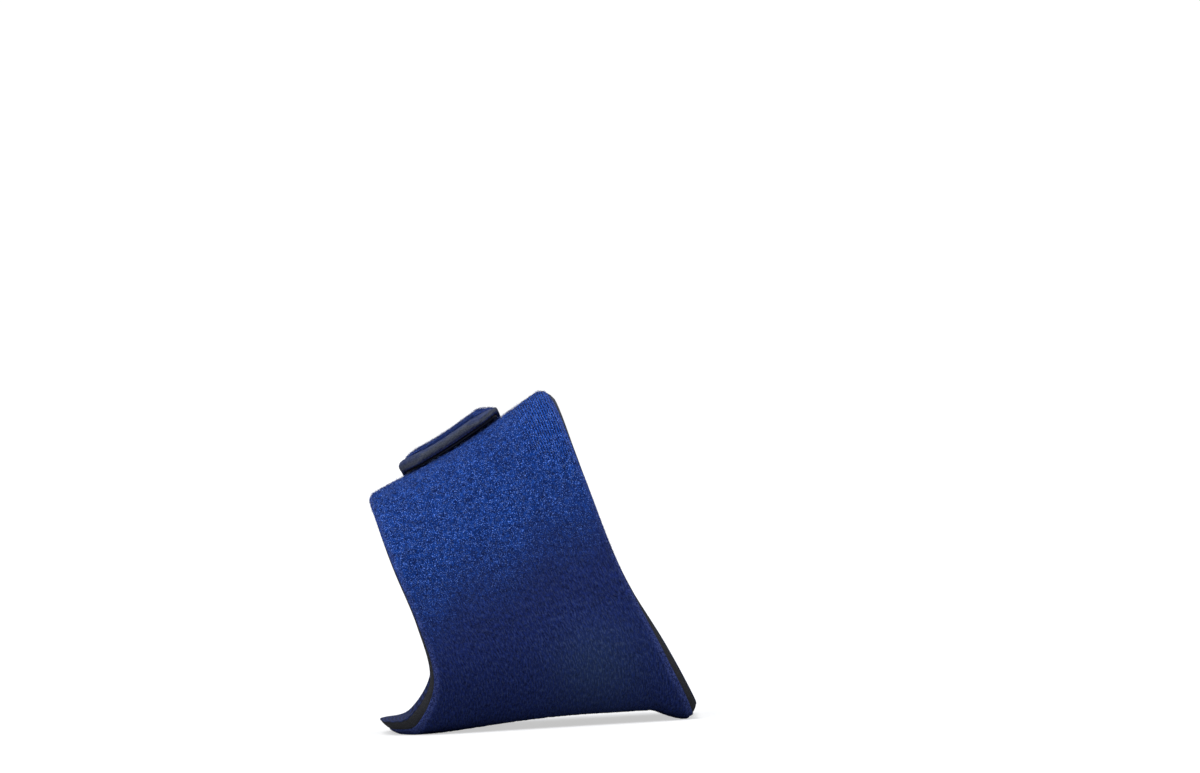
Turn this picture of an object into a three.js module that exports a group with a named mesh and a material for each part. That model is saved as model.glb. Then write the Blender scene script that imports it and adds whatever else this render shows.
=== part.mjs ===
// Arch support sleeve, right-hand pattern: one band of laminated foam rubber that runs from
// under its own closing flap, over the crest, down the arch side, along the sole and up the
// outer side. The band narrows there to a tab, which laps over the first end on top and holds
// to its loop face by a patch of hook tape.
//
// Millimetres, +Z up, +X from the front opening towards the rear one, +Y from the arch side
// towards the outer side. The sleeve stands on its sole, and the origin is the middle of its
// bounding box, on the ground.
import * as THREE from "three";

// Laminate, from the hollow outwards: lining, foam core, loop face. The plies are bonded.
const liningThickness = 0.4;
const coreThickness = 2.2;
const faceThickness = 0.7;
const bondGap = 0.2;

// The hollow that the band encloses, at its front and rear openings.
const frontHeight = 55;
const rearHeight = 80.8;
const frontWidth = 80;
const waistWidth = 71;
const rearWidth = 66;
const soleLength = 81.9;
const archRise = 2.7;

// The arch-side wall swells a little low down, and the pull of the tab presses the crest in
// under it.
const archSwell = 1.3;
const archSwellRadius = 12;
const tabPress = 2.4;
const tabPressRadius = 16;

// Ends of the band, as lengths along its girth.
const overlapLength = 30;
const tabReach = 6.5;
const tabLength = 27;
const taperLength = 27;
const tabCorner = 6;
const firstEndCorner = 4;
const climbLength = 11;
const tabPeel = 0.7;

// Where a cut edge slopes, the loop face stops this far short of the lining.
const edgeSlope = 1.8;

// The foam is pinched towards its cut edges: how much thinner it is there, and how far in.
const hemPinch = 0.8;
const hemPinchReach = 1.7;
const tabPinch = 1.7;
const tabPinchReach = 4.5;
const endPinch = 0.4;
const endPinchReach = 1.4;

// Hook tape under the tab.
const hookThickness = 0.7;
const hookInset = 1;
const hookLength = 24;
const hookGap = 0.2;

// Mesh fineness: spacing round the girth, rows in each rounded end, strips between the edges.
const girthStep = 3.6;
const cornerRows = 4;
const strips = 10;
const hookStrips = 8;
const lengthSamples = 480;

// One turn of the band, seen from the front opening. across: share of half the width, arch side
// negative. up: share of the height. front and rear: where the band's two edges lie, as shares
// of the sole's length back from its front edge. frontCut and rearCut: how much those cut edges
// slope, as shares of edgeSlope.
const turnTable = [
  { place: "crest", across: -0.16, up: 1, front: 0.028, rear: 0.61, frontCut: 0, rearCut: 0.7 },
  { place: "arch upper", across: -0.56, up: 0.942, front: 0.034, rear: 0.635, frontCut: 0, rearCut: 0.3 },
  { place: "arch shoulder", across: -0.86, up: 0.72, front: 0.078, rear: 0.7, frontCut: 0, rearCut: 0 },
  { place: "arch wall", across: -0.985, up: 0.45, front: 0.143, rear: 0.788, frontCut: 0, rearCut: 0 },
  { place: "arch base", across: -0.975, up: 0.2, front: 0.174, rear: 0.92, frontCut: 0.5, rearCut: 1 },
  { place: "arch turn", across: -0.78, up: 0.025, front: 0.1, rear: 1, frontCut: 1.5, rearCut: 1 },
  { place: "sole arch side", across: -0.45, up: 0, front: 0.025, rear: 1, frontCut: 1.7, rearCut: 0.5 },
  { place: "sole middle", across: 0.01, up: 0, front: 0, rear: 1, frontCut: 1.6, rearCut: 0.5 },
  { place: "sole outer side", across: 0.47, up: 0, front: 0.01, rear: 1, frontCut: 1.3, rearCut: 0.5 },
  { place: "outer turn", across: 0.8, up: 0.025, front: 0.09, rear: 0.98, frontCut: 1, rearCut: 1 },
  { place: "outer base", across: 0.99, up: 0.2, front: 0.16, rear: 0.885, frontCut: 0.5, rearCut: 1 },
  { place: "outer shoulder", across: 0.9, up: 0.46, front: 0.13, rear: 0.768, frontCut: 0, rearCut: 0 },
  { place: "outer slope", across: 0.65, up: 0.715, front: 0.09, rear: 0.688, frontCut: 0, rearCut: 0 },
  { place: "outer upper", across: 0.27, up: 0.922, front: 0.045, rear: 0.624, frontCut: 0, rearCut: 0.3 },
];

// How the sole arches between its front and rear edges, as shares of the way between them: it
// climbs from the front contact, and drops sharply to the rear contact.
const archFromShare = 0.14;
const archTopShare = 0.68;
const rearDropFromShare = 0.85;
const rearDropToShare = 0.965;

// The tab's two edges, as shares of the way across the band.
const tabFrontShare = 0.195;
const tabRearShare = 0.742;

// Round swellings of the form. row: rows of the turn table from the crest. along: share of the
// way across the band. height and radius: the sizes above.
const swellTable = [
  { place: "inner arch", row: 4.15, along: 0.72, height: archSwell, radius: archSwellRadius },
  { place: "under the tab", row: -0.5, along: 0.47, height: -tabPress, radius: tabPressRadius },
];

const laminate = liningThickness + coreThickness + faceThickness + 2 * bondGap;
const rowCount = turnTable.length;

function smooth(from, to, value) {
  return THREE.MathUtils.smoothstep(value, from, to);
}

function cubic(a, b, c, d, t) {
  const bend = 2 * a - 5 * b + 4 * c - d + t * (3 * b - a - 3 * c + d);
  return b + (t / 2) * (c - a + t * bend);
}

// A column of the turn table at a place between its rows, which follow each other in a ring.
function turnValue(column, row) {
  const base = Math.floor(row);
  const at = (step) => turnTable[THREE.MathUtils.euclideanModulo(base + step, rowCount)][column];
  return cubic(at(-1), at(0), at(1), at(2), row - base);
}

function soleRise(along) {
  const climb = THREE.MathUtils.clamp((along - archFromShare) / (archTopShare - archFromShare), 0, 1);
  const drop = smooth(rearDropFromShare, rearDropToShare, along);
  return archRise * Math.sin((climb * Math.PI) / 2) * (1 - drop);
}

// The hollow is widest at the front opening and draws in towards the rear one.
function widthAt(along) {
  const drawIn = 4 * along * (1 - along) * (waistWidth - (frontWidth + rearWidth) / 2);
  return THREE.MathUtils.lerp(frontWidth, rearWidth, along) + drawIn;
}

// A point of the lining's inner face. row runs round the girth, along from edge to edge.
function innerPoint(row, along) {
  const front = turnValue("front", row) * soleLength;
  const rear = turnValue("rear", row) * soleLength;
  const up = Math.max(0, turnValue("up", row));
  const crestHeight = THREE.MathUtils.lerp(frontHeight, rearHeight, along);
  return new THREE.Vector3(
    THREE.MathUtils.lerp(front, rear, along),
    (turnValue("across", row) * widthAt(along)) / 2,
    laminate + THREE.MathUtils.lerp(soleRise(along), crestHeight, up),
  );
}

function outwardAt(row, along) {
  const step = 0.01;
  const here = innerPoint(row, along);
  const round = innerPoint(row + step, along).sub(innerPoint(row - step, along));
  const back = innerPoint(row, along + step).sub(innerPoint(row, along - step));
  return { here, outward: round.cross(back).normalize() };
}

// Lengths along the middle of the band, so that its ends can be placed in millimetres.
const girthLengths = [0];
for (let i = 1; i <= lengthSamples; i += 1) {
  const row = (index) => (index / lengthSamples) * rowCount;
  const span = innerPoint(row(i), 0.5).distanceTo(innerPoint(row(i - 1), 0.5));
  girthLengths.push(girthLengths[i - 1] + span);
}
const girth = girthLengths[lengthSamples];

// The row at a length from the crest, which may be negative or past a full turn.
function rowAt(length) {
  const turns = Math.floor(length / girth);
  const rest = length - turns * girth;
  const after = Math.max(1, girthLengths.findIndex((sum) => sum >= rest));
  const before = girthLengths[after - 1];
  const share = (rest - before) / (girthLengths[after] - before);
  return ((after - 1 + share) / lengthSamples + turns) * rowCount;
}

const firstEnd = -overlapLength;
const tabEnd = girth + tabReach;
const taperStart = tabEnd - tabLength - taperLength;
const climbStart = girth - overlapLength - climbLength;

function rowWidth(row) {
  return innerPoint(row, 0).distanceTo(innerPoint(row, 1));
}

// How far a rounded end's outline has come in, at a distance from that end.
function cornerInset(radius, distance) {
  const short = radius - THREE.MathUtils.clamp(distance, 0, radius);
  return radius - Math.sqrt(radius * radius - short * short);
}

function taperAt(length) {
  return smooth(taperStart, taperStart + taperLength, length);
}

// The band's outline: its two edges at a length round the girth, as shares of its full width.
// On a sloping cut they come in with the depth.
function bandEdges(length, depth) {
  const row = rowAt(length);
  const width = rowWidth(row);
  const taper = taperAt(length);
  const round =
    cornerInset(tabCorner, tabEnd - length) + cornerInset(firstEndCorner, length - firstEnd);
  const slope = (edgeSlope * (1 - taper) * depth) / laminate;
  return {
    front: tabFrontShare * taper + (round + slope * turnValue("frontCut", row)) / width,
    rear: 1 - (1 - tabRearShare) * taper - (round + slope * turnValue("rearCut", row)) / width,
  };
}

function hookEdges(length) {
  const hookEnd = tabEnd - hookInset;
  const corner = tabCorner - hookInset;
  const round = Math.max(
    cornerInset(corner, hookEnd - length),
    cornerInset(corner, length - hookEnd + hookLength),
  );
  const share = (round + hookInset) / rowWidth(rowAt(length));
  return { front: tabFrontShare + share, rear: tabRearShare - share };
}

// How much thinner the band is, at a share of the way between its edges.
function pinchAt(length, share) {
  const taper = taperAt(length);
  const { front, rear } = bandEdges(length, 0);
  const toSide = Math.min(share, 1 - share) * (rear - front) * rowWidth(rowAt(length));
  const toEnd = Math.min(length - firstEnd, tabEnd - length);
  const sidePinch = THREE.MathUtils.lerp(hemPinch, tabPinch, taper);
  const sideReach = THREE.MathUtils.lerp(hemPinchReach, tabPinchReach, taper);
  return Math.max(
    sidePinch * (1 - smooth(0, sideReach, toSide)),
    endPinch * (1 - smooth(0, endPinchReach, toEnd)),
  );
}

// The outer end climbs onto the first end, then onto the hook tape. Its free rear corner has
// come up a little.
function liftAt(length, along) {
  const hookStart = tabEnd - hookInset - hookLength;
  const climb = (laminate + hookGap) * smooth(climbStart, climbStart + climbLength, length);
  const overHook = (hookThickness + hookGap) * smooth(hookStart - climbLength, hookStart, length);
  const free = smooth(tabEnd - tabLength / 2, tabEnd, length);
  return climb + overHook + tabPeel * free * smooth(tabFrontShare, tabRearShare, along);
}

// Rows from one place of the turn table to another, by the shorter way round.
function rowsBetween(from, to) {
  return THREE.MathUtils.euclideanModulo(to - from + rowCount / 2, rowCount) - rowCount / 2;
}

function swellAt(row, along) {
  const heights = swellTable.map((swell) => {
    const round = (rowsBetween(swell.row, row) / rowCount) * girth;
    const across = (along - swell.along) * rowWidth(row);
    return swell.height * Math.exp(-(round * round + across * across) / swell.radius ** 2);
  });
  return heights.reduce((sum, height) => sum + height, 0);
}

// A point at a depth of the laminate: 0 is the lining's inner face. Where the sole rests, the
// plies lie flat.
function bandPoint(length, along, depth) {
  const row = rowAt(length);
  const { here, outward } = outwardAt(row, along);
  here.addScaledVector(outward, depth + liftAt(length, along) + swellAt(row, along));
  here.z = Math.max(here.z, laminate - depth);
  return here;
}

// Lengths from one end of a piece to the other, closer together in its rounded ends.
function rowLengths(start, end, startCorner, endCorner) {
  const inner = [];
  const from = start + startCorner;
  const steps = Math.ceil((end - endCorner - from) / girthStep);
  for (let i = 0; i <= steps; i += 1) {
    inner.push(THREE.MathUtils.lerp(from, end - endCorner, i / steps));
  }
  const turnIn = (radius) => {
    const angles = Array.from({ length: cornerRows }, (_, i) => (i / cornerRows) * (Math.PI / 2));
    return angles.map((angle) => radius * (1 - Math.cos(angle)));
  };
  return [
    ...turnIn(startCorner).map((inset) => start + inset),
    ...inner,
    ...turnIn(endCorner)
      .reverse()
      .map((inset) => end - inset),
  ];
}

// A flat slab between two depths, wrapped round the girth. place gives a point for a length, a
// share of the way between the slab's edges and a depth. Its columns are closest at the edges.
function wrappedSlab({ lengths, inside, outside, columns, place }) {
  const slab = new THREE.BoxGeometry(1, 1, 1, lengths.length - 1, 1, columns);
  slab.deleteAttribute("uv");
  const position = slab.attributes.position;
  for (let i = 0; i < position.count; i += 1) {
    const length = lengths[Math.round((position.getX(i) + 0.5) * (lengths.length - 1))];
    const share = (1 - Math.cos((0.5 - position.getZ(i)) * Math.PI)) / 2;
    const depth = position.getY(i) > 0 ? outside : inside;
    position.setXYZ(i, ...place(length, share, depth));
  }
  slab.computeVertexNormals();
  return slab;
}

function namedMesh(name, geometry, color, roughness) {
  const material = new THREE.MeshStandardMaterial({ color, roughness, metalness: 0 });
  const mesh = new THREE.Mesh(geometry, material);
  mesh.name = name;
  return mesh;
}

function ply(name, inside, thickness, color, roughness) {
  const geometry = wrappedSlab({
    lengths: rowLengths(firstEnd, tabEnd, firstEndCorner, tabCorner),
    inside,
    outside: inside + thickness,
    columns: strips,
    place: (length, share, depth) => {
      const { front, rear } = bandEdges(length, depth);
      const along = THREE.MathUtils.lerp(front, rear, share);
      return bandPoint(length, along, depth * (1 - pinchAt(length, share) / laminate));
    },
  });
  return namedMesh(name, geometry, color, roughness);
}

// The hook tape lies between the first end's loop face and the tab's lining, so its depths are
// counted back from the lining of the lifted tab.
function hookPatch(name, color, roughness) {
  const hookEnd = tabEnd - hookInset;
  const corner = tabCorner - hookInset;
  const geometry = wrappedSlab({
    lengths: rowLengths(hookEnd - hookLength, hookEnd, corner, corner),
    inside: -hookGap - hookThickness,
    outside: -hookGap,
    columns: hookStrips,
    place: (length, share, depth) => {
      const { front, rear } = hookEdges(length);
      return bandPoint(length, THREE.MathUtils.lerp(front, rear, share), depth);
    },
  });
  return namedMesh(name, geometry, color, roughness);
}

const sleeve = new THREE.Group();
const coreInside = liningThickness + bondGap;
const faceInside = coreInside + coreThickness + bondGap;
sleeve.add(
  ply("inner_lining", 0, liningThickness, 0x12172b, 0.85),
  ply("foam_core", coreInside, coreThickness, 0x3a3c42, 0.9),
  ply("loop_face", faceInside, faceThickness, 0x1f3f8c, 0.95),
  hookPatch("hook_patch", 0x0c0d12, 0.8),
);

// The origin goes to the middle of the sleeve's box, on the ground.
const box = new THREE.Box3().setFromObject(sleeve);
const middle = box.getCenter(new THREE.Vector3());
sleeve.position.set(-middle.x, -middle.y, -box.min.z);

export default sleeve;
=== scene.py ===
import math

import bmesh
import bpy
import numpy as np
from mathutils import Matrix, Vector


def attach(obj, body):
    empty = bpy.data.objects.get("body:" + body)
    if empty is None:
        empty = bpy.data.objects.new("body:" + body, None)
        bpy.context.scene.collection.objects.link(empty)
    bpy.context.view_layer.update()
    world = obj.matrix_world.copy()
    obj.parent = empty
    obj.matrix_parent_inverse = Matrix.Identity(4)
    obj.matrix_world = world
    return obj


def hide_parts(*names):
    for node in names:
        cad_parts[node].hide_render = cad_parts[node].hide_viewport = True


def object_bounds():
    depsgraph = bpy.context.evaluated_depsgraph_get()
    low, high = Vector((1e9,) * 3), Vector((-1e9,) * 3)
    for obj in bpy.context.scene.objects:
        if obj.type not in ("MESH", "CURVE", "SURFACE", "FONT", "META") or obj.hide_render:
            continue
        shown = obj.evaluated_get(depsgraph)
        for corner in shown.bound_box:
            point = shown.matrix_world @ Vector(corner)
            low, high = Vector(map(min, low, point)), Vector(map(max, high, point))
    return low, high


# Arch support sleeve: a laminate of loop pile, foam rubber and jersey, closed by a hook tab.
# Lengths in the dictionaries are millimetres, the scene itself is in metres.

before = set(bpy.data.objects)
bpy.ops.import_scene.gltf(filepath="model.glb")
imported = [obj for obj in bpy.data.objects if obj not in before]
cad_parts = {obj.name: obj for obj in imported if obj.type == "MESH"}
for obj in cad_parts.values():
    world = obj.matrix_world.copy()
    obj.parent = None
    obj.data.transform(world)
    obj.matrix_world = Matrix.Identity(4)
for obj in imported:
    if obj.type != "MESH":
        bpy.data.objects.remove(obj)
cadBox = [list(corner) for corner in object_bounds()]
mm = 0.001

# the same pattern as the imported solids
pattern = {
    "lining": 0.4, "core": 2.2, "face": 0.7, "bond": 0.2,
    "frontHeight": 55, "rearHeight": 80.8,
    "frontWidth": 80, "waistWidth": 71, "rearWidth": 66,
    "soleLength": 81.9, "archRise": 2.7,
    "archSwell": 1.3, "archSwellRadius": 12, "archSwellRow": 4.15, "archSwellAcross": 0.72,
    "tabPress": 2.4, "tabPressRadius": 16, "tabPressRow": -0.5, "tabPressAcross": 0.47,
    "overlap": 30, "tabReach": 6.5, "tabLength": 27, "taperLength": 27,
    "tabCorner": 6, "firstEndCorner": 4, "climbLength": 11, "tabPeel": 0.7,
    "edgeSlope": 1.8,
    "hemPinch": 0.8, "hemPinchReach": 1.7, "tabPinch": 1.7, "tabPinchReach": 4.5,
    "endPinch": 0.4, "endPinchReach": 1.4,
    "hookThickness": 0.7, "hookInset": 1, "hookLength": 24, "hookGap": 0.2,
    "archFrom": 0.14, "archTop": 0.68, "rearDropFrom": 0.85, "rearDropTo": 0.965,
    "tabFront": 0.195, "tabRear": 0.742,
}
p = pattern

# one turn round the girth from the crest: across, up, front, rear, front cut, rear cut
turnRows = np.array([
    [-0.16, 1, 0.028, 0.61, 0, 0.7],
    [-0.56, 0.942, 0.034, 0.635, 0, 0.3],
    [-0.86, 0.72, 0.078, 0.7, 0, 0],
    [-0.985, 0.45, 0.143, 0.788, 0, 0],
    [-0.975, 0.2, 0.174, 0.92, 0.5, 1],
    [-0.78, 0.025, 0.1, 1, 1.5, 1],
    [-0.45, 0, 0.025, 1, 1.7, 0.5],
    [0.01, 0, 0, 1, 1.6, 0.5],
    [0.47, 0, 0.01, 1, 1.3, 0.5],
    [0.8, 0.025, 0.09, 0.98, 1, 1],
    [0.99, 0.2, 0.16, 0.885, 0.5, 1],
    [0.9, 0.46, 0.13, 0.768, 0, 0],
    [0.65, 0.715, 0.09, 0.688, 0, 0],
    [0.27, 0.922, 0.045, 0.624, 0, 0.3],
])
rowCount = len(turnRows)
laminate = p["lining"] + p["core"] + p["face"] + 2 * p["bond"]


def smooth(start, end, value):
    t = np.clip((value - start) / (end - start), 0, 1)
    return t * t * (3 - 2 * t)


def mix(a, b, t):
    return a + (b - a) * t


def turnValue(column, row):
    base = np.floor(row)
    t = row - base
    a, b, c, d = (turnRows[(base + step).astype(int) % rowCount, column] for step in (-1, 0, 1, 2))
    return b + t / 2 * (c - a + t * (2 * a - 5 * b + 4 * c - d + t * (3 * b - a - 3 * c + d)))


def innerPoint(row, along):
    climb = np.clip((along - p["archFrom"]) / (p["archTop"] - p["archFrom"]), 0, 1)
    drop = smooth(p["rearDropFrom"], p["rearDropTo"], along)
    rise = p["archRise"] * np.sin(climb * math.pi / 2) * (1 - drop)
    drawIn = 4 * along * (1 - along) * (p["waistWidth"] - (p["frontWidth"] + p["rearWidth"]) / 2)
    width = mix(p["frontWidth"], p["rearWidth"], along) + drawIn
    up = np.maximum(0, turnValue(1, row))
    x = mix(turnValue(2, row), turnValue(3, row), along) * p["soleLength"]
    y = turnValue(0, row) * width / 2
    z = laminate + mix(rise, mix(p["frontHeight"], p["rearHeight"], along), up)
    return np.stack([x, y, z], -1)


def outwardAt(row, along):
    step = 0.01
    girthWise = innerPoint(row + step, along) - innerPoint(row - step, along)
    rearWise = innerPoint(row, along + step) - innerPoint(row, along - step)
    out = np.cross(girthWise, rearWise)
    return out / np.linalg.norm(out, axis=-1, keepdims=True)


# lengths round the band's middle line
sampleCount = 481
sampleRows = np.linspace(0, rowCount, sampleCount)
middleLine = innerPoint(sampleRows, np.full(sampleCount, 0.5))
girthSteps = np.linalg.norm(np.diff(middleLine, axis=0), axis=1)
girthSums = np.concatenate([[0], np.cumsum(girthSteps)])
girth = girthSums[-1]
firstEnd = -p["overlap"]
tabEnd = girth + p["tabReach"]
hookEnd = tabEnd - p["hookInset"]
hookStart = hookEnd - p["hookLength"]
taperStart = tabEnd - p["tabLength"] - p["taperLength"]
climbStart = girth - p["overlap"] - p["climbLength"]


def rowAt(length):
    turns = np.floor(length / girth)
    return np.interp(length - turns * girth, girthSums, sampleRows) + turns * rowCount


def rowWidth(row):
    front, rear = innerPoint(row, np.zeros_like(row)), innerPoint(row, np.ones_like(row))
    return np.linalg.norm(front - rear, axis=-1)


def cornerInset(radius, distance):
    short = radius - np.clip(distance, 0, radius)
    return radius - np.sqrt(radius * radius - short * short)


def taperAt(length):
    return smooth(taperStart, taperStart + p["taperLength"], length)


def nearTabEnd(length, far, near):
    return smooth(tabEnd - far, tabEnd - near, length)


def bandEdges(length, depth):
    row = rowAt(length)
    width, taper = rowWidth(row), taperAt(length)
    tabCorner = cornerInset(p["tabCorner"], tabEnd - length)
    corner = tabCorner + cornerInset(p["firstEndCorner"], length - firstEnd)
    slope = p["edgeSlope"] * (1 - taper) * depth / laminate
    front = p["tabFront"] * taper + (corner + slope * turnValue(4, row)) / width
    rear = 1 - (1 - p["tabRear"]) * taper - (corner + slope * turnValue(5, row)) / width
    return front, rear


def pinchAt(length, share):
    taper = taperAt(length)
    front, rear = bandEdges(length, 0 * length)
    toSide = np.minimum(share, 1 - share) * (rear - front) * rowWidth(rowAt(length))
    toEnd = np.minimum(length - firstEnd, tabEnd - length)
    reach = mix(p["hemPinchReach"], p["tabPinchReach"], taper)
    side = mix(p["hemPinch"], p["tabPinch"], taper) * (1 - smooth(0, reach, toSide))
    return np.maximum(side, p["endPinch"] * (1 - smooth(0, p["endPinchReach"], toEnd)))


def liftAt(length, along):
    climb = (laminate + p["hookGap"]) * smooth(climbStart, climbStart + p["climbLength"], length)
    hookRoom = p["hookThickness"] + p["hookGap"]
    overHook = hookRoom * smooth(hookStart - p["climbLength"], hookStart, length)
    free = nearTabEnd(length, p["tabLength"] / 2, 0)
    return climb + overHook + p["tabPeel"] * free * smooth(p["tabFront"], p["tabRear"], along)


def swellAt(row, along):
    total = 0
    for name, sign in (("archSwell", 1), ("tabPress", -1)):
        half = rowCount / 2
        rows = np.mod(row - p[name + "Row"] + half, rowCount) - half
        girthWise = rows / rowCount * girth
        crossWise = (along - p[name + "Across"]) * rowWidth(row)
        spread = np.exp(-(girthWise ** 2 + crossWise ** 2) / p[name + "Radius"] ** 2)
        total = total + sign * p[name] * spread
    return total


def bandPoint(length, along, depth):
    row = rowAt(length)
    outward = depth + liftAt(length, along) + swellAt(row, along)
    point = innerPoint(row, along) + outwardAt(row, along) * outward[..., None]
    point[..., 2] = np.maximum(point[..., 2], np.maximum(laminate - depth, 0))
    return point


# a point by its share of the way across, with the hems and ends pinched
def pliedPoint(length, share, depth):
    front, rear = bandEdges(length, depth)
    return bandPoint(length, mix(front, rear, share), depth * (1 - pinchAt(length, share) / laminate))


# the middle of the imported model's box is the origin, so the pattern moves there
probeLength, probeShare = np.meshgrid(
    np.linspace(firstEnd, tabEnd, 400), np.linspace(0, 1, 60), indexing="ij")
probe = pliedPoint(probeLength, probeShare, np.full_like(probeLength, laminate)).reshape(-1, 3)
cadLow, cadHigh = (np.array(corner) / mm for corner in cadBox)
patternShift = (cadLow + cadHigh) / 2 - (probe.min(0) + probe.max(0)) / 2
patternShift[2] = 0
print("pattern: band", round(tabEnd - firstEnd, 1), "mm long, girth", round(girth, 1), "mm")

flatUnit = 300  # millimetres of cloth for one unit of the UV map
flatMiddle = 50  # where the band's middle lies across the map


def acrossAt(length, along):
    return flatMiddle + (along - 0.5) * rowWidth(rowAt(length))


def rowLengths(start, end, startCorner, endCorner, step):
    first, last = start + startCorner, end - endCorner
    inner = np.linspace(first, last, math.ceil((last - first) / step) + 1)
    cornerSteps = 6
    turns = 1 - np.cos(np.linspace(0, math.pi / 2, cornerSteps + 1)[:-1])
    return np.concatenate([start + startCorner * turns, inner, (end - endCorner * turns)[::-1]])


def columnShares(count):
    crowding = 0.62  # columns stand closer together at the hems
    s = np.linspace(0, 1, count + 1)
    return s - crowding * np.sin(2 * math.pi * s) / (2 * math.pi)


def setAttribute(obj, name, values):
    layer = obj.data.attributes.new(name, "FLOAT", "POINT")
    layer.data.foreach_set("value", np.asarray(values, dtype=np.float32))


def meshArray(items, field, size, kind=float):
    values = np.zeros(len(items) * size, dtype=kind)
    items.foreach_get(field, values)
    return values


def attributeOf(obj, name):
    return meshArray(obj.data.attributes[name].data, "value", 1)


def meshPoints(mesh):
    return meshArray(mesh.vertices, "co", 3).reshape(-1, 3)


def linkMesh(name, mesh):
    mesh.polygons.foreach_set("use_smooth", np.ones(len(mesh.polygons), dtype=bool))
    obj = bpy.data.objects.new(name, mesh)
    bpy.context.scene.collection.objects.link(obj)
    return obj


# A closed slab of stacked grids. Each level is a depth and how far its rim is drawn in.
def wrappedSlab(name, lengths, shares, levels, place):
    bm = bmesh.new()
    bmesh.ops.create_grid(bm, x_segments=len(lengths) - 1, y_segments=len(shares) - 1, size=0.5)
    top = bm.faces[:]
    for index in range(1, len(levels)):
        grown = bmesh.ops.extrude_face_region(bm, geom=top, use_keep_orig=True)["geom"]
        if index > 1:
            bmesh.ops.delete(bm, geom=top, context="FACES")
        top = [item for item in grown if isinstance(item, bmesh.types.BMFace)]
        raised = [item for item in grown if isinstance(item, bmesh.types.BMVert)]
        bmesh.ops.translate(bm, vec=(0, 0, 1), verts=raised)
    bmesh.ops.recalc_face_normals(bm, faces=bm.faces)
    mesh = bpy.data.meshes.new(name)
    bm.to_mesh(mesh)
    bm.free()
    co = meshPoints(mesh)
    column = np.rint((co[:, 0] + 0.5) * (len(lengths) - 1)).astype(int)
    strip = np.rint((co[:, 1] + 0.5) * (len(shares) - 1)).astype(int)
    level = np.rint(co[:, 2]).astype(int)
    length, share = np.asarray(lengths)[column], np.asarray(shares)[strip]
    depth, drawn = np.asarray(levels)[level].T
    span = lengths[-1] - lengths[0]
    length = lengths[0] + drawn + (length - lengths[0]) * (span - 2 * drawn) / span
    width = rowWidth(rowAt(length))
    share = drawn / width + share * (1 - 2 * drawn / width)
    point, along = place(length, share, depth, level)
    mesh.vertices.foreach_set("co", ((point + patternShift) * mm).ravel())
    mesh.update()
    flat = np.stack([length - firstEnd, acrossAt(length, along)], -1) / flatUnit
    corner = meshArray(mesh.loops, "vertex_index", 1, int)
    mesh.uv_layers.new(name="flatPattern").data.foreach_set("uv", flat[corner].ravel())
    obj = linkMesh(name, mesh)
    setAttribute(obj, "lengthOnBand", length)
    setAttribute(obj, "rimDistance", toRim(length, along))
    setAttribute(obj, "plyDepth", depth / laminate)
    return obj


# How far the face stops short of the tab's outline, at its sides, end and rounded corners. The
# front corner's dome is how much further it stops there.
faceTrim = {"side": 0.7, "corner": 1, "dome": 2, "domeFar": 12, "domeNear": 2}
faceEnd = tabEnd - faceTrim["side"]


def trimmedEdges(length, depth, trim):
    front, rear = bandEdges(length, depth)
    if not trim:
        return front, rear
    width = rowWidth(rowAt(length))
    trimmedCorner = cornerInset(p["tabCorner"] + trim["corner"], tabEnd - trim["side"] - length)
    corner = np.maximum(0, trimmedCorner - cornerInset(p["tabCorner"], tabEnd - length))
    inset = trim["side"] * taperAt(length) + corner
    dome = trim["dome"] * nearTabEnd(length, trim["domeFar"], trim["domeNear"])
    return front + (inset + dome) / width, rear - inset / width


def toRim(length, along):
    front, rear = trimmedEdges(length, np.full_like(length, laminate), faceTrim)
    width = rowWidth(rowAt(length))
    toEnd = np.minimum(length - firstEnd, faceEnd - length)
    return np.minimum(np.minimum(along - front, rear - along) * width, toEnd)


def plyPlace(relief, trim=None):
    def place(length, share, depth, level):
        outerFront, outerRear = bandEdges(length, depth)
        front, rear = trimmedEdges(length, depth, trim)
        along = mix(front, rear, share)
        thin = 1 - pinchAt(length, (along - outerFront) / (outerRear - outerFront)) / laminate
        return bandPoint(length, along, depth * thin + relief(length, along, level)), along
    return place


def finishPiece(obj, node, material):
    obj.data.materials.append(material)
    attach(obj, "root")
    if node:
        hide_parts(node)
    print("made", obj.name, len(obj.data.polygons), "faces")
    return obj


# smooth random bumps over the flat cloth, size in millimetres
def clothNoise(length, across, size, seed):
    rows, columns = 97, 89
    table = np.random.default_rng(seed).normal(size=(rows, columns))
    u, v = length / size, across / size
    i, j = np.floor(u).astype(int), np.floor(v).astype(int)
    s, t = smooth(0, 1, u - i), smooth(0, 1, v - j)
    at = lambda di, dj: table[(i + di) % rows, (j + dj) % columns]
    return mix(mix(at(0, 0), at(1, 0), s), mix(at(0, 1), at(1, 1), s), t)


# materials

# a colour given by its 8-bit screen values
def tone(red, green, blue):
    linear = (((c / 255 + 0.055) / 1.055) ** 2.4 if c > 10 else c / 255 / 12.92 for c in (red, green, blue))
    return tuple(linear) + (1,)


def newMaterial(name, roughness, sheen=0, sheenTint=(1, 1, 1, 1), specular=0.3):
    material = bpy.data.materials.new(name)
    material.use_nodes = True
    shader = material.node_tree.nodes["Principled BSDF"]
    shader.inputs["Roughness"].default_value = roughness
    shader.inputs["Specular IOR Level"].default_value = specular
    shader.inputs["Sheen Weight"].default_value = sheen
    shader.inputs["Sheen Roughness"].default_value = 0.45
    shader.inputs["Sheen Tint"].default_value = sheenTint
    return material, material.node_tree, shader


def addNode(tree, kind, **settings):
    node = tree.nodes.new(kind)
    for key, value in settings.items():
        setattr(node, key, value)
    return node


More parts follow.
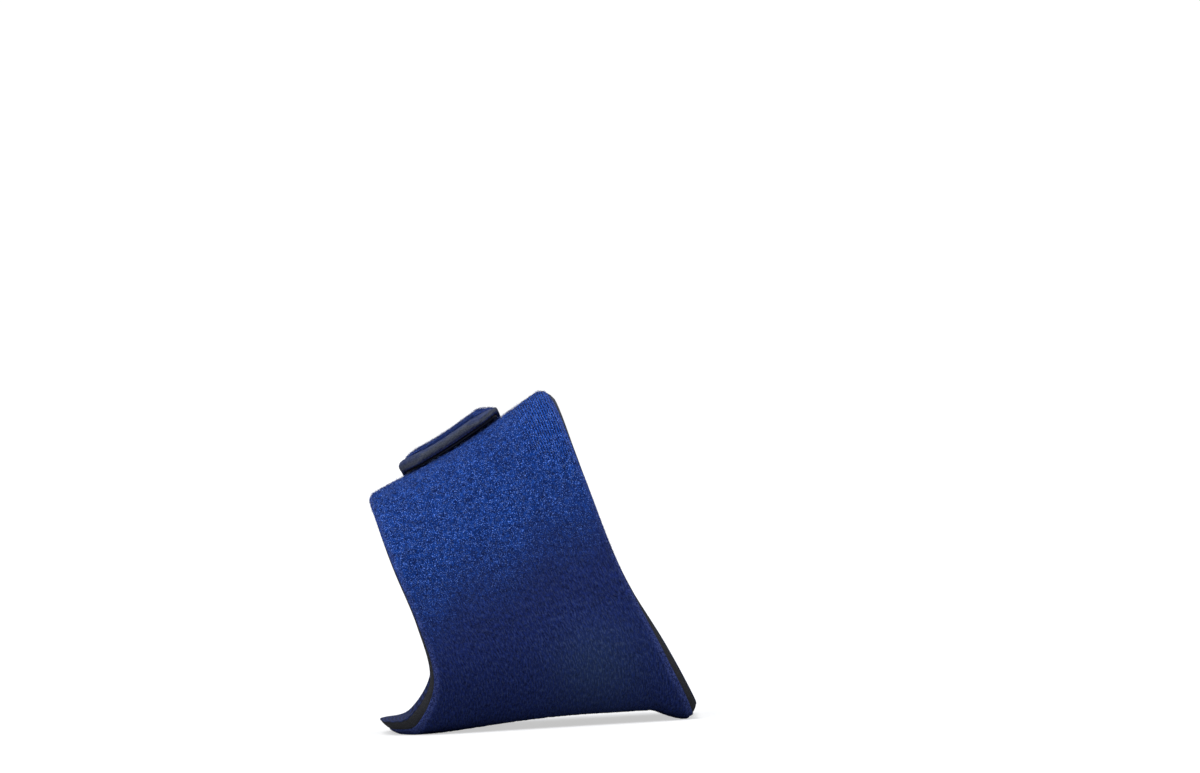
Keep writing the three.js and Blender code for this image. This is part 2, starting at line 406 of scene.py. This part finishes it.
def noiseNode(tree, vector, scale, detail=2, roughness=0.5):
    node = addNode(tree, "ShaderNodeTexNoise")
    node.inputs["Scale"].default_value = scale
    node.inputs["Detail"].default_value = detail
    node.inputs["Roughness"].default_value = roughness
    tree.links.new(vector, node.inputs["Vector"])
    return node.outputs["Fac"]


def rampNode(tree, value, *stops):
    node = addNode(tree, "ShaderNodeValToRGB")
    while len(node.color_ramp.elements) < len(stops):
        node.color_ramp.elements.new(0.5)
    for element, (position, color) in zip(node.color_ramp.elements, stops):
        element.position, element.color = position, color
    tree.links.new(value, node.inputs["Fac"])
    return node.outputs["Color"]


# black below low, white above high
def maskNode(tree, value, low, high):
    return rampNode(tree, value, (low, (0, 0, 0, 1)), (high, (1, 1, 1, 1)))


def fillSockets(tree, sockets, values):
    for socket, value in zip(sockets, values):
        if isinstance(value, bpy.types.NodeSocket):
            tree.links.new(value, socket)
        else:
            socket.default_value = value


def mixColor(tree, factor, a, b):
    node = addNode(tree, "ShaderNodeMix", data_type="RGBA")
    fillSockets(tree, (node.inputs[0], node.inputs[6], node.inputs[7]), (factor, a, b))
    return node.outputs[2]


def mathNode(tree, operation, *values, **settings):
    node = addNode(tree, "ShaderNodeMath", operation=operation, **settings)
    fillSockets(tree, node.inputs, values)
    return node.outputs[0]


def times(tree, a, b, **settings):
    return mathNode(tree, "MULTIPLY", a, b, **settings)


# each part is a value and its weight
def weightedSum(tree, *parts):
    total = times(tree, *parts[0])
    for part in parts[1:]:
        total = mathNode(tree, "ADD", total, times(tree, *part))
    return total


def objectCoords(tree):
    return addNode(tree, "ShaderNodeTexCoord").outputs["Object"]


# the cloth's own millimetres, stretched along or across the band
def flatCoords(tree, alongScale, acrossScale):
    mapping = addNode(tree, "ShaderNodeMapping")
    mapping.inputs["Scale"].default_value = (flatUnit * alongScale, flatUnit * acrossScale, 1)
    flat = addNode(tree, "ShaderNodeUVMap", uv_map="flatPattern").outputs["UV"]
    tree.links.new(flat, mapping.inputs["Vector"])
    return mapping.outputs["Vector"]


def flatNoise(tree, stretch, detail=2, roughness=0.5):
    return noiseNode(tree, flatCoords(tree, *stretch), 1, detail, roughness)


def attributeValue(tree, name):
    return addNode(tree, "ShaderNodeAttribute", attribute_name=name).outputs["Fac"]


def bandsNode(tree, scale, distortion, detail):
    node = addNode(tree, "ShaderNodeTexWave", wave_type="BANDS", bands_direction="Y")
    node.inputs["Scale"].default_value = scale
    node.inputs["Distortion"].default_value = distortion
    node.inputs["Detail"].default_value = detail
    tree.links.new(flatCoords(tree, 1, 1), node.inputs["Vector"])
    return node.outputs["Fac"]


def cellsNode(tree, vector, scale):
    node = addNode(tree, "ShaderNodeTexVoronoi", feature="F1")
    node.inputs["Scale"].default_value = scale
    tree.links.new(vector, node.inputs["Vector"])
    return node.outputs["Distance"]


def bumpInto(tree, shader, height, distance, strength=1):
    bump = addNode(tree, "ShaderNodeBump")
    bump.inputs["Distance"].default_value = distance
    bump.inputs["Strength"].default_value = strength
    tree.links.new(height, bump.inputs["Height"])
    tree.links.new(bump.outputs["Normal"], shader.inputs["Normal"])


# Colours are screen values. Scales are cells in a metre, stretches are cells in a millimetre
# along and across the band.
pileLook = {
    "sheenTint": (110, 140, 225),
    "deep": (3, 15, 56), "royal": (11, 43, 108), "bright": (27, 76, 170),
    "mattedShadedDeep": (8, 17, 56), "mattedShaded": (31, 46, 110), "speck": (58, 72, 118),
    "swellHighlightTone": (44, 64, 100), "swellHighlightSpeck": (96, 116, 140),
    "glint": (106, 146, 244), "hemHighlight": (86, 100, 168),
    "grain": 3600, "mottle": 700, "glintSize": 4200, "patch": 150, "hemHighlightMottleSize": 2600,
    "streak": (0.75, 2.8), "speckStretch": (1, 2.9), "ribs": 0.48, "ribDepth": 0.3,
    "speckShare": 0.6, "swellHighlightSpeckShare": 0.5, "hemHighlightShare": 0.6, "glintShare": 0.95, "patchShare": 0.5,
}


def loopPileMaterial():
    look = pileLook
    material, tree, shader = newMaterial(
        "brushedLoopPile", 0.88, sheen=0.08, sheenTint=tone(*look["sheenTint"]), specular=0.08)
    here = objectCoords(tree)
    grain = noiseNode(tree, here, look["grain"], 2, 0.6)
    mottle = noiseNode(tree, here, look["mottle"], 3, 0.55)
    streak = flatNoise(tree, look["streak"])
    height = weightedSum(tree, (grain, 0.5), (mottle, 0.28), (streak, 0.22))
    ribs = mathNode(tree, "SUBTRACT", bandsNode(tree, look["ribs"], 1.6, 2), 0.5)
    ribbed = times(tree, ribs, times(tree, attributeValue(tree, "rib"), look["ribDepth"]))
    height = mathNode(tree, "ADD", height, ribbed)
    pile = rampNode(
        tree, height, (0.38, tone(*look["deep"])), (0.5, tone(*look["royal"])), (0.62, tone(*look["bright"])))

    combed = weightedSum(tree, (streak, 0.6), (grain, 0.4))
    # the matted tones, mixed in where the nap falls off lower down, are darker: painted shade towards the
    # sole
    mattedShaded = rampNode(tree, combed, (0.4, tone(*look["mattedShadedDeep"])), (0.61, tone(*look["mattedShaded"])))
    specks = maskNode(tree, flatNoise(tree, look["speckStretch"], 2, 0.6), 0.5, 0.64)
    mattedShaded = mixColor(tree, times(tree, specks, look["speckShare"]), mattedShaded, tone(*look["speck"]))
    patches = mathNode(tree, "SUBTRACT", noiseNode(tree, here, look["patch"]), 0.5)
    uneven = mathNode(tree, "ADD", times(tree, patches, look["patchShare"]), 1)
    napAndLight = times(tree, attributeValue(tree, "napAndLight"), uneven, use_clamp=True)
    color = mixColor(tree, napAndLight, mattedShaded, pile)

    # on the arch side's swell the pile takes a lighter, greyer tone with pale specks: painted highlight
    swellHighlightTone = mixColor(
        tree, times(tree, specks, look["swellHighlightSpeckShare"]), tone(*look["swellHighlightTone"]), tone(*look["swellHighlightSpeck"]))
    color = mixColor(tree, attributeValue(tree, "swellHighlight"), color, swellHighlightTone)
    # near the hems the pile takes a mottled, lighter and greyer blue: painted highlight where the fuzz
    # catches light
    fuzz = maskNode(tree, noiseNode(tree, here, look["hemHighlightMottleSize"], 2, 0.6), 0.44, 0.58)
    hem = times(tree, attributeValue(tree, "hem"), look["hemHighlightShare"])
    color = mixColor(tree, times(tree, fuzz, hem), color, tone(*look["hemHighlight"]))
    # sparse bright blue specks, only where the pile is fluffed high up: painted glints
    glint = maskNode(tree, noiseNode(tree, here, look["glintSize"], 0, 0.5), 0.65, 0.73)
    glinted = times(tree, glint, times(tree, napAndLight, look["glintShare"]))
    color = mixColor(tree, glinted, color, tone(*look["glint"]))
    tree.links.new(color, shader.inputs["Base Color"])
    bumpInto(tree, shader, height, 0.35 * mm, 0.9)
    return material


# the stops run from dark through royal blue to pale, and each fibre has its own place on them. The pale stop
# near the top gives painted glints, and the grey last stop is painted sheen of fuzz lit from behind.
fibreTones = {
    "sheenTint": (120, 155, 240), "dullShaded": (30, 45, 98),
    "stops": (
        (0, (3, 14, 58)), (0.45, (14, 46, 120)), (0.75, (36, 88, 196)),
        (0.88, (140, 174, 246)), (1, (112, 128, 168))),
}


def fibreMaterial():
    look = fibreTones
    material, tree, shader = newMaterial(
        "pileFibre", 0.5, sheen=0.05, sheenTint=tone(*look["sheenTint"]), specular=0.25)
    stops = ((position, tone(*color)) for position, color in look["stops"])
    fibre = rampNode(tree, attributeValue(tree, "fibreTone"), *stops)
    # fibres turn a duller, darker blue where the nap falls off towards the sole: painted shade
    dullShaded = mixColor(tree, attributeValue(tree, "napAndLight"), tone(*look["dullShaded"]), fibre)
    tree.links.new(dullShaded, shader.inputs["Base Color"])
    return material


# the plain pit and wall tones are the foam darkened all over: painted shade; the scuffed tones are its
# lighter copy, painted light where the foam is lit
foamLook = {
    "shadedPit": (22, 22, 26), "wall": (50, 51, 56), "litPit": (44, 47, 56), "litWall": (90, 95, 108),
    "facing": (30, 50, 108), "dust": (112, 116, 126),
    "cells": 3800, "dustSize": 5200, "smear": 1100, "facingShare": 0.65, "middle": 0.43,
}


def foamMaterial():
    look = foamLook
    material, tree, shader = newMaterial("foamRubber", 0.92, specular=0.2)
    here = objectCoords(tree)
    cells = cellsNode(tree, here, look["cells"])
    dust = maskNode(tree, noiseNode(tree, here, look["dustSize"], 1), 0.7, 0.78)
    shade = rampNode(tree, cells, (0.1, tone(*look["shadedPit"])), (0.55, tone(*look["wall"])))
    litFoam = rampNode(tree, cells, (0.1, tone(*look["litPit"])), (0.55, tone(*look["litWall"])))
    smear = noiseNode(tree, here, look["smear"], 3, 0.6)
    fromMiddle = mathNode(tree, "SUBTRACT", attributeValue(tree, "plyDepth"), look["middle"])
    nearFaces = mathNode(tree, "ABSOLUTE", fromMiddle)
    overlaid = maskNode(tree, mathNode(tree, "ADD", nearFaces, times(tree, smear, 0.5)), 0.36, 0.62)
    litFoam = mixColor(tree, times(tree, overlaid, look["facingShare"]), litFoam, tone(*look["facing"]))
    # the lighter copy shows at the tab's end and high up as painted light; elsewhere the foam keeps its
    # painted shade
    color = mixColor(tree, attributeValue(tree, "litShare"), shade, litFoam)
    color = mixColor(tree, dust, color, tone(*look["dust"]))
    tree.links.new(color, shader.inputs["Base Color"])
    bumpInto(tree, shader, cells, 0.2 * mm, 0.8)
    return material


jerseyLook = {
    "sheenTint": (90, 110, 170), "furrow": (14, 21, 50), "wale": (34, 48, 98),
    "wales": 0.33, "courses": (2.6, 1.3),
}


def liningMaterial():
    look = jerseyLook
    material, tree, shader = newMaterial(
        "stretchJersey", 0.8, sheen=0.15, sheenTint=tone(*look["sheenTint"]), specular=0.25)
    wales = bandsNode(tree, look["wales"], 1.2, 1)
    height = weightedSum(tree, (wales, 0.6), (flatNoise(tree, look["courses"]), 0.5))
    color = rampNode(tree, height, (0.25, tone(*look["furrow"])), (0.85, tone(*look["wale"])))
    tree.links.new(color, shader.inputs["Base Color"])
    bumpInto(tree, shader, height, 0.2 * mm, 0.8)
    return material


tapeLook = {"dark": (9, 11, 20), "light": (28, 34, 54), "weave": (1.6, 2.4)}


def hookMaterial():
    look = tapeLook
    material, tree, shader = newMaterial("hookTape", 0.6, specular=0.4)
    weave = flatNoise(tree, look["weave"])
    color = rampNode(tree, weave, (0.3, tone(*look["dark"])), (0.7, tone(*look["light"])))
    tree.links.new(color, shader.inputs["Base Color"])
    bumpInto(tree, shader, weave, 0.15 * mm, 0.7)
    return material


loopPile, pileFibre, foamRubber, stretchJersey, hookTape = (
    loopPileMaterial(), fibreMaterial(), foamMaterial(), liningMaterial(), hookMaterial())
print("materials ready")

# where the pile is matted and darker lower down, the darkening being painted shade, where the arch side's
# swell gets a painted highlight, and where it is ribbed, in millimetres of the scene's own axes
wearAndLight = {
    "matAndShadeHeight": 42, "matAndShadeSlope": 0.5, "matAndShadeFrom": -11, "matAndShadeBlend": 16, "mattedShadedNap": 0.03,
    "highlightX": 16.5, "highlightZ": 14.6, "highlightRadius": 11, "highlightStrength": 0.42, "highlightBlend": 5,
    "ribHeights": (62, 78), "ribsFromHem": (-13, -3), "hemX": 5.5, "hemZ": 86, "hemSlope": 0.42,
}


# how fluffed the pile is at a point in metres, and how lit: brushed up high on the band, matted near the
# sole, and darkened towards the sole as painted shade
def napAndLightAt(points):
    x, y, z = points.T / mm
    waves = 1.6 * np.sin(x * 0.31) + 1.2 * np.sin(y * 0.23 + 1)
    edge = wearAndLight["matAndShadeHeight"] + wearAndLight["matAndShadeSlope"] * (x - wearAndLight["matAndShadeFrom"]) + waves
    return mix(wearAndLight["mattedShadedNap"], 1, smooth(-wearAndLight["matAndShadeBlend"], wearAndLight["matAndShadeBlend"], z - edge))


# the lighter spot on the arch side's swell: a painted highlight
def swellHighlightAt(points):
    x, y, z = points.T / mm
    spot = np.exp(-((x - wearAndLight["highlightX"]) ** 2 + (z - wearAndLight["highlightZ"]) ** 2) / wearAndLight["highlightRadius"] ** 2)
    return wearAndLight["highlightStrength"] * spot * smooth(wearAndLight["highlightBlend"], -wearAndLight["highlightBlend"], y)


# where the knit's ribs show through the pile: beside the rear hem, high up
def ribAt(points):
    x, y, z = points.T / mm
    rearHem = wearAndLight["hemX"] + (wearAndLight["hemZ"] - z) * wearAndLight["hemSlope"]
    return smooth(*wearAndLight["ribsFromHem"], x - rearHem) * smooth(*wearAndLight["ribHeights"], z)


# Outer face: the thin ply of loop pile. Round the tab's rim it is pressed down and worn, which
# sets in between two distances from the tab's end and fades over a distance from the rim.
facePly = {
    "step": 0.78, "columns": 104, "levels": [(2.83, 0.12), (3.1, 0), (3.45, 0.04), (3.7, 0.28)],
    "clumps": 0.05, "clumpSize": 1.1, "waves": 0.06, "waveSize": 5.5, "waveRim": (0.2, 3),
    "tabPress": 0.42, "pressFromEnd": (9, 3), "pressRim": (0, 3), "pressLower": 0.7,
    "wearFromEnd": (9, 4), "wearRim": (0.5, 5), "wearNap": 0.5, "wearHemHighlight": 0.3, "hemRim": (0.2, 1.5),
}


def tabPressAt(length, rim):
    near = nearTabEnd(length, *facePly["pressFromEnd"])
    return facePly["tabPress"] * near * (1 - smooth(*facePly["pressRim"], rim))


def tabWearAt(length, rim):
    return nearTabEnd(length, *facePly["wearFromEnd"]) * (1 - smooth(*facePly["wearRim"], rim))


def faceRelief(length, along, level):
    across = acrossAt(length, along)
    rim = toRim(length, along)
    clumps = facePly["clumps"] * clothNoise(length, across, facePly["clumpSize"], 3)
    waves = facePly["waves"] * clothNoise(length, across, facePly["waveSize"], 5)
    bumps = clumps + waves * smooth(*facePly["waveRim"], rim)
    pressed = tabPressAt(length, rim)
    return np.where(level == 3, bumps - pressed, np.where(level == 2, -facePly["pressLower"] * pressed, 0))


loopFace = wrappedSlab(
    "loop_face_pile",
    rowLengths(firstEnd, faceEnd, p["firstEndCorner"], p["tabCorner"], facePly["step"]),
    columnShares(facePly["columns"]), facePly["levels"], plyPlace(faceRelief, faceTrim))
facePoints, rimDistance = meshPoints(loopFace.data), attributeOf(loopFace, "rimDistance")
tabWear = tabWearAt(attributeOf(loopFace, "lengthOnBand"), rimDistance)
# closeness to the hems, which carries the painted highlight there, dimmed on the tab's worn rim
atHem = 1 - smooth(*facePly["hemRim"], rimDistance)
setAttribute(loopFace, "napAndLight", napAndLightAt(facePoints) * (1 - facePly["wearNap"] * tabWear))
setAttribute(loopFace, "hem", atHem * (1 - facePly["wearHemHighlight"] * tabWear))
setAttribute(loopFace, "swellHighlight", swellHighlightAt(facePoints))
setAttribute(loopFace, "rib", ribAt(facePoints))
finishPiece(loopFace, "loop_face", loopPile)


# one three-sided strand with a ring at its middle, copied along every row of centres
def strandMesh(name, centres, sideways, radii):
    bm = bmesh.new()
    bmesh.ops.create_cone(bm, cap_ends=True, segments=3, radius1=1, radius2=1, depth=2)
    upright = [edge for edge in bm.edges if abs(edge.verts[0].co.z - edge.verts[1].co.z) > 1]
    bmesh.ops.subdivide_edges(bm, edges=upright, cuts=1)
    bmesh.ops.recalc_face_normals(bm, faces=bm.faces)
    strand = bpy.data.meshes.new("strand")
    bm.to_mesh(strand)
    bm.free()
    shape = meshPoints(strand)
    corners = meshArray(strand.loops, "vertex_index", 1, int)
    starts = meshArray(strand.polygons, "loop_start", 1, int)
    bpy.data.meshes.remove(strand)
    ring = np.rint(shape[:, 2] + 1).astype(int)

    tangent = np.gradient(centres, axis=1)
    tangent /= np.linalg.norm(tangent, axis=-1, keepdims=True)
    sideways = sideways[:, None] - tangent * np.sum(sideways[:, None] * tangent, -1, keepdims=True)
    sideways /= np.linalg.norm(sideways, axis=-1, keepdims=True)
    upward = np.cross(tangent, sideways)
    spread = shape[:, :1] * sideways[:, ring] + shape[:, 1:2] * upward[:, ring]
    points = centres[:, ring] + spread * radii[:, ring, None]
    copies = np.arange(len(centres))[:, None]
    mesh = bpy.data.meshes.new(name)
    mesh.vertices.add(points.size // 3)
    mesh.vertices.foreach_set("co", (points.reshape(-1, 3) * mm).ravel())
    mesh.loops.add(len(centres) * len(corners))
    mesh.loops.foreach_set("vertex_index", (corners + copies * len(shape)).ravel())
    mesh.polygons.add(len(centres) * len(starts))
    mesh.polygons.foreach_set("loop_start", (starts + copies * len(corners)).ravel())
    mesh.update(calc_edges=True)
    return linkMesh(name, mesh)


# a strand's relative thickness at its root, middle and tip, how far it clears the face, and how
# much of its rise is left where the pile is matted
strandLook = {"profile": (0.5, 1, 0.35), "clear": 0.02, "mattedRise": 0.3}


def bentFibres(name, length, along, heading, rise, droop, reach, radius, tones):
    front, rear = bandEdges(length, np.full_like(length, laminate))
    pinch = pinchAt(length, np.clip((along - front) / (rear - front), 0, 1))
    rim = toRim(length, along)
    root = (bandPoint(length, along, laminate - pinch) + patternShift) * mm
    napAndLight = napAndLightAt(root) * (1 - facePly["wearNap"] * tabWearAt(length, rim))
    rise = rise * mix(strandLook["mattedRise"], 1, napAndLight)
    base = laminate - pinch - tabPressAt(length, rim) + strandLook["clear"]
    centres = []
    for t in (-0.5, 0, 0.5):
        lengthHere = length + np.cos(heading) * reach * t
        alongHere = along + np.sin(heading) * reach * t / rowWidth(rowAt(length))
        depth = base + rise * (1 - 3 * t * t) - droop * (t + 0.5) ** 2
        centres.append(bandPoint(lengthHere, alongHere, depth) + patternShift)
    centres = np.stack(centres, 1)
    sideways = np.cross(centres[:, 2] - centres[:, 0], outwardAt(rowAt(length), along))
    obj = strandMesh(name, centres, sideways, radius[:, None] * np.array(strandLook["profile"]))
    pointsEach = len(obj.data.vertices) // len(length)
    setAttribute(obj, "fibreTone", np.repeat(tones, pointsEach))
    setAttribute(obj, "napAndLight", np.repeat(napAndLight, pointsEach))
    return finishPiece(obj, None, pileFibre)


# Short fibres of the brushed loops, finer fuzz that stands off the crest, and the fuzz that is
# brushed out over the two hems and the tab's end. Spreads are how far headings turn, in radians.
fibreLook = {
    "count": 13000, "soleCount": 5000, "length": (0.55, 1.25), "radius": (0.022, 0.045),
    "rise": (0.05, 0.3), "spread": 1.05, "tones": (0, 0.9),
}
# the fuzz takes only the pale and grey end of the stops: painted sheen of fuzz lit from behind
fuzzLook = {
    "count": 5000, "tabCount": 2500, "length": (0.5, 1), "radius": (0.01, 0.02),
    "rise": (0.2, 0.62), "spread": 1.4, "tones": (0.9, 1),
}
hemLook = {
    "count": 4500, "endCount": 1200, "length": (0.5, 1.2), "radius": (0.014, 0.03),
    "rise": (0, 0.25), "droop": (0, 0.9), "inset": (0.05, 0.5), "spread": 0.75, "endSpread": 0.6,
    "tones": (0.3, 0.9),
}


def pileFibres(name, start, end, seed, count, look=fibreLook):
    rng = np.random.default_rng(seed)
    length = rng.uniform(start, end, count)
    front, rear = trimmedEdges(length, np.full(count, laminate), faceTrim)
    along = mix(front, rear, rng.uniform(0.006, 0.994, count))
    reach = rng.uniform(*look["length"], count)
    heading = rng.normal(0, 1, count) * look["spread"]
    rise = rng.uniform(*look["rise"], count)
    radius = rng.uniform(*look["radius"], count)
    tones = mix(*look["tones"], rng.beta(2, 3, count))
    return bentFibres(name, length, along, heading, rise, 0, reach, radius, tones)


def hemFibres(name, side, seed):
    rng = np.random.default_rng(seed)
    look, count, endCount = hemLook, hemLook["count"], hemLook["endCount"]
    length = rng.uniform(firstEnd + 1, tabEnd - 3, count)
    front, rear = trimmedEdges(length, np.full(count, laminate), faceTrim)
    inset = rng.uniform(*look["inset"], count) / rowWidth(rowAt(length))
    along = front + inset if side < 0 else rear - inset
    heading = side * math.pi / 2 + rng.normal(0, look["spread"], count)
    endLength = faceEnd - rng.uniform(*look["inset"], endCount)
    front, rear = trimmedEdges(endLength, np.full(endCount, laminate), faceTrim)
    half = rng.uniform(0, 0.5, endCount)
    length = np.concatenate([length, endLength])
    along = np.concatenate([along, mix(front, rear, half if side < 0 else 1 - half)])
    heading = np.concatenate([heading, rng.normal(0, look["endSpread"], endCount)])
    total = count + endCount
    rise, droop = rng.uniform(*look["rise"], total), rng.uniform(*look["droop"], total)
    reach, radius = rng.uniform(*look["length"], total), rng.uniform(*look["radius"], total)
    tones = mix(*look["tones"], rng.beta(2, 2, total))
    return bentFibres(name, length, along, heading, rise, droop, reach, radius, tones)


# lengths on the band where the crest ends, the sole ends and the tab's fuzz starts
crestTo, soleTo, crestFuzzTo, tabFuzzFrom = 62, 150, 52, 205
pileStart, pileEnd = firstEnd + 0.5, faceEnd - 0.5
pileParts = [
    pileFibres("pile_fibres_crest", pileStart, crestTo, 21, fibreLook["count"]),
    pileFibres("pile_fibres_sole", crestTo, soleTo, 22, fibreLook["soleCount"]),
    pileFibres("pile_fibres_outer", soleTo, pileEnd, 23, fibreLook["count"]),
    pileFibres("pile_fuzz_crest", pileStart, crestFuzzTo, 26, fuzzLook["count"], fuzzLook),
    pileFibres("pile_fuzz_tab", tabFuzzFrom, pileEnd, 27, fuzzLook["tabCount"], fuzzLook),
    hemFibres("hem_fuzz_front", -1, 24),
    hemFibres("hem_fuzz_rear", 1, 25),
]

# Foam rubber core, with its cut edges standing a little proud and pitted. The dome is the tab's
# front edge swelling over the face, by a share at each level.
corePly = {
    "step": 0.9, "columns": 64,
    "levels": [(0.42, 0.06), (0.8, -0.06), (1.6, -0.14), (2.4, -0.08), (2.8, 0.14)],
    "pits": 0.05, "pitSize": 1.3,
    "dome": 1.15, "domeShares": (0, 0, 0.35, 0.75, 1), "domeFromEnd": (11, 3),
    "domeMiddle": 1, "domeRadius": 1.1,
    "litFromEnd": (13, 3), "litHeights": (62, 80), "topLit": 0.55,
}


def coreRelief(length, along, level):
    front, rear = bandEdges(length, np.full_like(length, laminate))
    fromFront = (along - front) * rowWidth(rowAt(length))
    ridge = np.exp(-((fromFront - corePly["domeMiddle"]) / corePly["domeRadius"]) ** 2)
    dome = corePly["dome"] * nearTabEnd(length, *corePly["domeFromEnd"]) * ridge
    pits = corePly["pits"] * clothNoise(length * 3, along * 200 + level * 7, corePly["pitSize"], 11)
    return pits + dome * np.array(corePly["domeShares"])[level]


foamCore = wrappedSlab(
    "foam_core_sheet",
    rowLengths(firstEnd, tabEnd, p["firstEndCorner"], p["tabCorner"], corePly["step"]),
    columnShares(corePly["columns"]), corePly["levels"], plyPlace(coreRelief))
foamHeights = meshPoints(foamCore.data)[:, 2] / mm
# the foam is painted lighter at the tab's end and high up, where the light from above falls on it
tabLit = nearTabEnd(attributeOf(foamCore, "lengthOnBand"), *corePly["litFromEnd"])
topLit = corePly["topLit"] * smooth(*corePly["litHeights"], foamHeights)
setAttribute(foamCore, "litShare", np.maximum(tabLit, topLit))
finishPiece(foamCore, "foam_core", foamRubber)

liningPly = {"step": 1.4, "columns": 50, "levels": [(0, 0.1), (0.2, 0), (0.4, 0.06)]}
jerseyLining = wrappedSlab(
    "inner_lining_jersey",
    rowLengths(firstEnd, tabEnd, p["firstEndCorner"], p["tabCorner"], liningPly["step"]),
    columnShares(liningPly["columns"]), liningPly["levels"], plyPlace(lambda length, along, level: 0))
finishPiece(jerseyLining, "inner_lining", stretchJersey)

# hook tape under the tab, its tufts towards the band that it grips
hookStrip = {
    "step": 0.45, "columns": 56, "levels": [(-0.9, 0.1), (-0.7, 0), (-0.4, 0), (-0.2, 0.1)],
    "tufts": 0.07, "tuftSize": 0.9, "frontCorner": 2, "frontCornerFrom": 6,
}
hookCorner = p["tabCorner"] - p["hookInset"]


def hookEdges(length):
    inset = p["hookInset"] + np.maximum(
        cornerInset(hookCorner, hookEnd - length), cornerInset(hookCorner, length - hookStart))
    frontMore = hookStrip["frontCorner"] * smooth(hookEnd - hookStrip["frontCornerFrom"], hookEnd, length)
    width = rowWidth(rowAt(length))
    return p["tabFront"] + (inset + frontMore) / width, p["tabRear"] - inset / width


def hookPlace(length, share, depth, level):
    front, rear = hookEdges(length)
    along = mix(front, rear, share)
    tufts = hookStrip["tufts"] * clothNoise(length, along * 70, hookStrip["tuftSize"], 31)
    return bandPoint(length, along, depth + np.where(level < 2, tufts, 0)), along


hookPatch = wrappedSlab(
    "hook_patch_tape", rowLengths(hookStart, hookEnd, hookCorner, hookCorner, hookStrip["step"]),
    columnShares(hookStrip["columns"]), hookStrip["levels"], hookPlace)
finishPiece(hookPatch, "hook_patch", hookTape)

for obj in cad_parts.values():
    obj.data.materials.clear()
    obj.data.materials.append(foamRubber)


# plain pale studio: seen white, lit from the upper left
studio = {
    "sun": 2.4, "sunAngle": 55, "sunHeading": (0.3, 0.62, -1),
    "skyLow": (0.18, 0.18, 0.2, 1), "skyHigh": (0.75, 0.77, 0.8, 1), "white": 1.02,
    "floorSize": 14, "floorBounce": 0.42, "floorSeen": 0.5, "floorGlow": 0.55,
}


def grey(value):
    return (value,) * 3 + (1,)


def buildFloor():
    bm = bmesh.new()
    bmesh.ops.create_grid(bm, x_segments=8, y_segments=8, size=studio["floorSize"])
    mesh = bpy.data.meshes.new("studio_floor")
    bm.to_mesh(mesh)
    bm.free()
    floor = bpy.data.objects.new("studio_floor", mesh)
    bpy.context.scene.collection.objects.link(floor)
    material, tree, shader = newMaterial("paleFloor", 0.9, specular=0.05)
    sight = addNode(tree, "ShaderNodeLightPath").outputs["Is Camera Ray"]
    color = mixColor(tree, sight, grey(studio["floorBounce"]), grey(studio["floorSeen"]))
    tree.links.new(color, shader.inputs["Base Color"])
    shader.inputs["Emission Color"].default_value = grey(1)
    tree.links.new(times(tree, sight, studio["floorGlow"]), shader.inputs["Emission Strength"])
    floor.data.materials.append(material)


def buildLight():
    world = bpy.data.worlds.new("studio")
    bpy.context.scene.world = world
    world.use_nodes = True
    tree = world.node_tree
    sight = addNode(tree, "ShaderNodeLightPath").outputs["Is Camera Ray"]
    up = addNode(tree, "ShaderNodeSeparateXYZ")
    tree.links.new(addNode(tree, "ShaderNodeTexCoord").outputs["Generated"], up.inputs[0])
    sky = rampNode(tree, up.outputs["Z"], (0, studio["skyLow"]), (1, studio["skyHigh"]))
    color = mixColor(tree, sight, sky, grey(studio["white"]))
    tree.links.new(color, tree.nodes["Background"].inputs["Color"])

    sun = bpy.data.lights.new("key", "SUN")
    sun.energy, sun.angle = studio["sun"], math.radians(studio["sunAngle"])
    key = bpy.data.objects.new("key", sun)
    key.rotation_euler = Vector(studio["sunHeading"]).to_track_quat("-Z", "Y").to_euler()
    bpy.context.scene.collection.objects.link(key)
    bpy.context.scene.view_settings.view_transform = "Standard"


# the view of the photograph, in degrees, millimetres of film and metres
view = {"roll": 3.259, "lens": 300, "film": 36, "place": (0.02108, -2.6, 0.08686), "clip": (0.1, 60)}


def buildCamera():
    roll = math.radians(view["roll"])
    camera = bpy.data.cameras.new("camera")
    camera.lens, camera.sensor_width = view["lens"], view["film"]
    camera.clip_start, camera.clip_end = view["clip"]
    obj = bpy.data.objects.new("camera", camera)
    side = Vector((math.cos(roll), 0, -math.sin(roll)))
    up = Vector((math.sin(roll), 0, math.cos(roll)))
    back = Vector((0, -1, 0))
    turn = Matrix((side, up, back)).transposed().to_4x4()
    obj.matrix_world = Matrix.Translation(view["place"]) @ turn
    bpy.context.scene.collection.objects.link(obj)
    bpy.context.scene.camera = obj


buildFloor()
buildLight()
buildCamera()
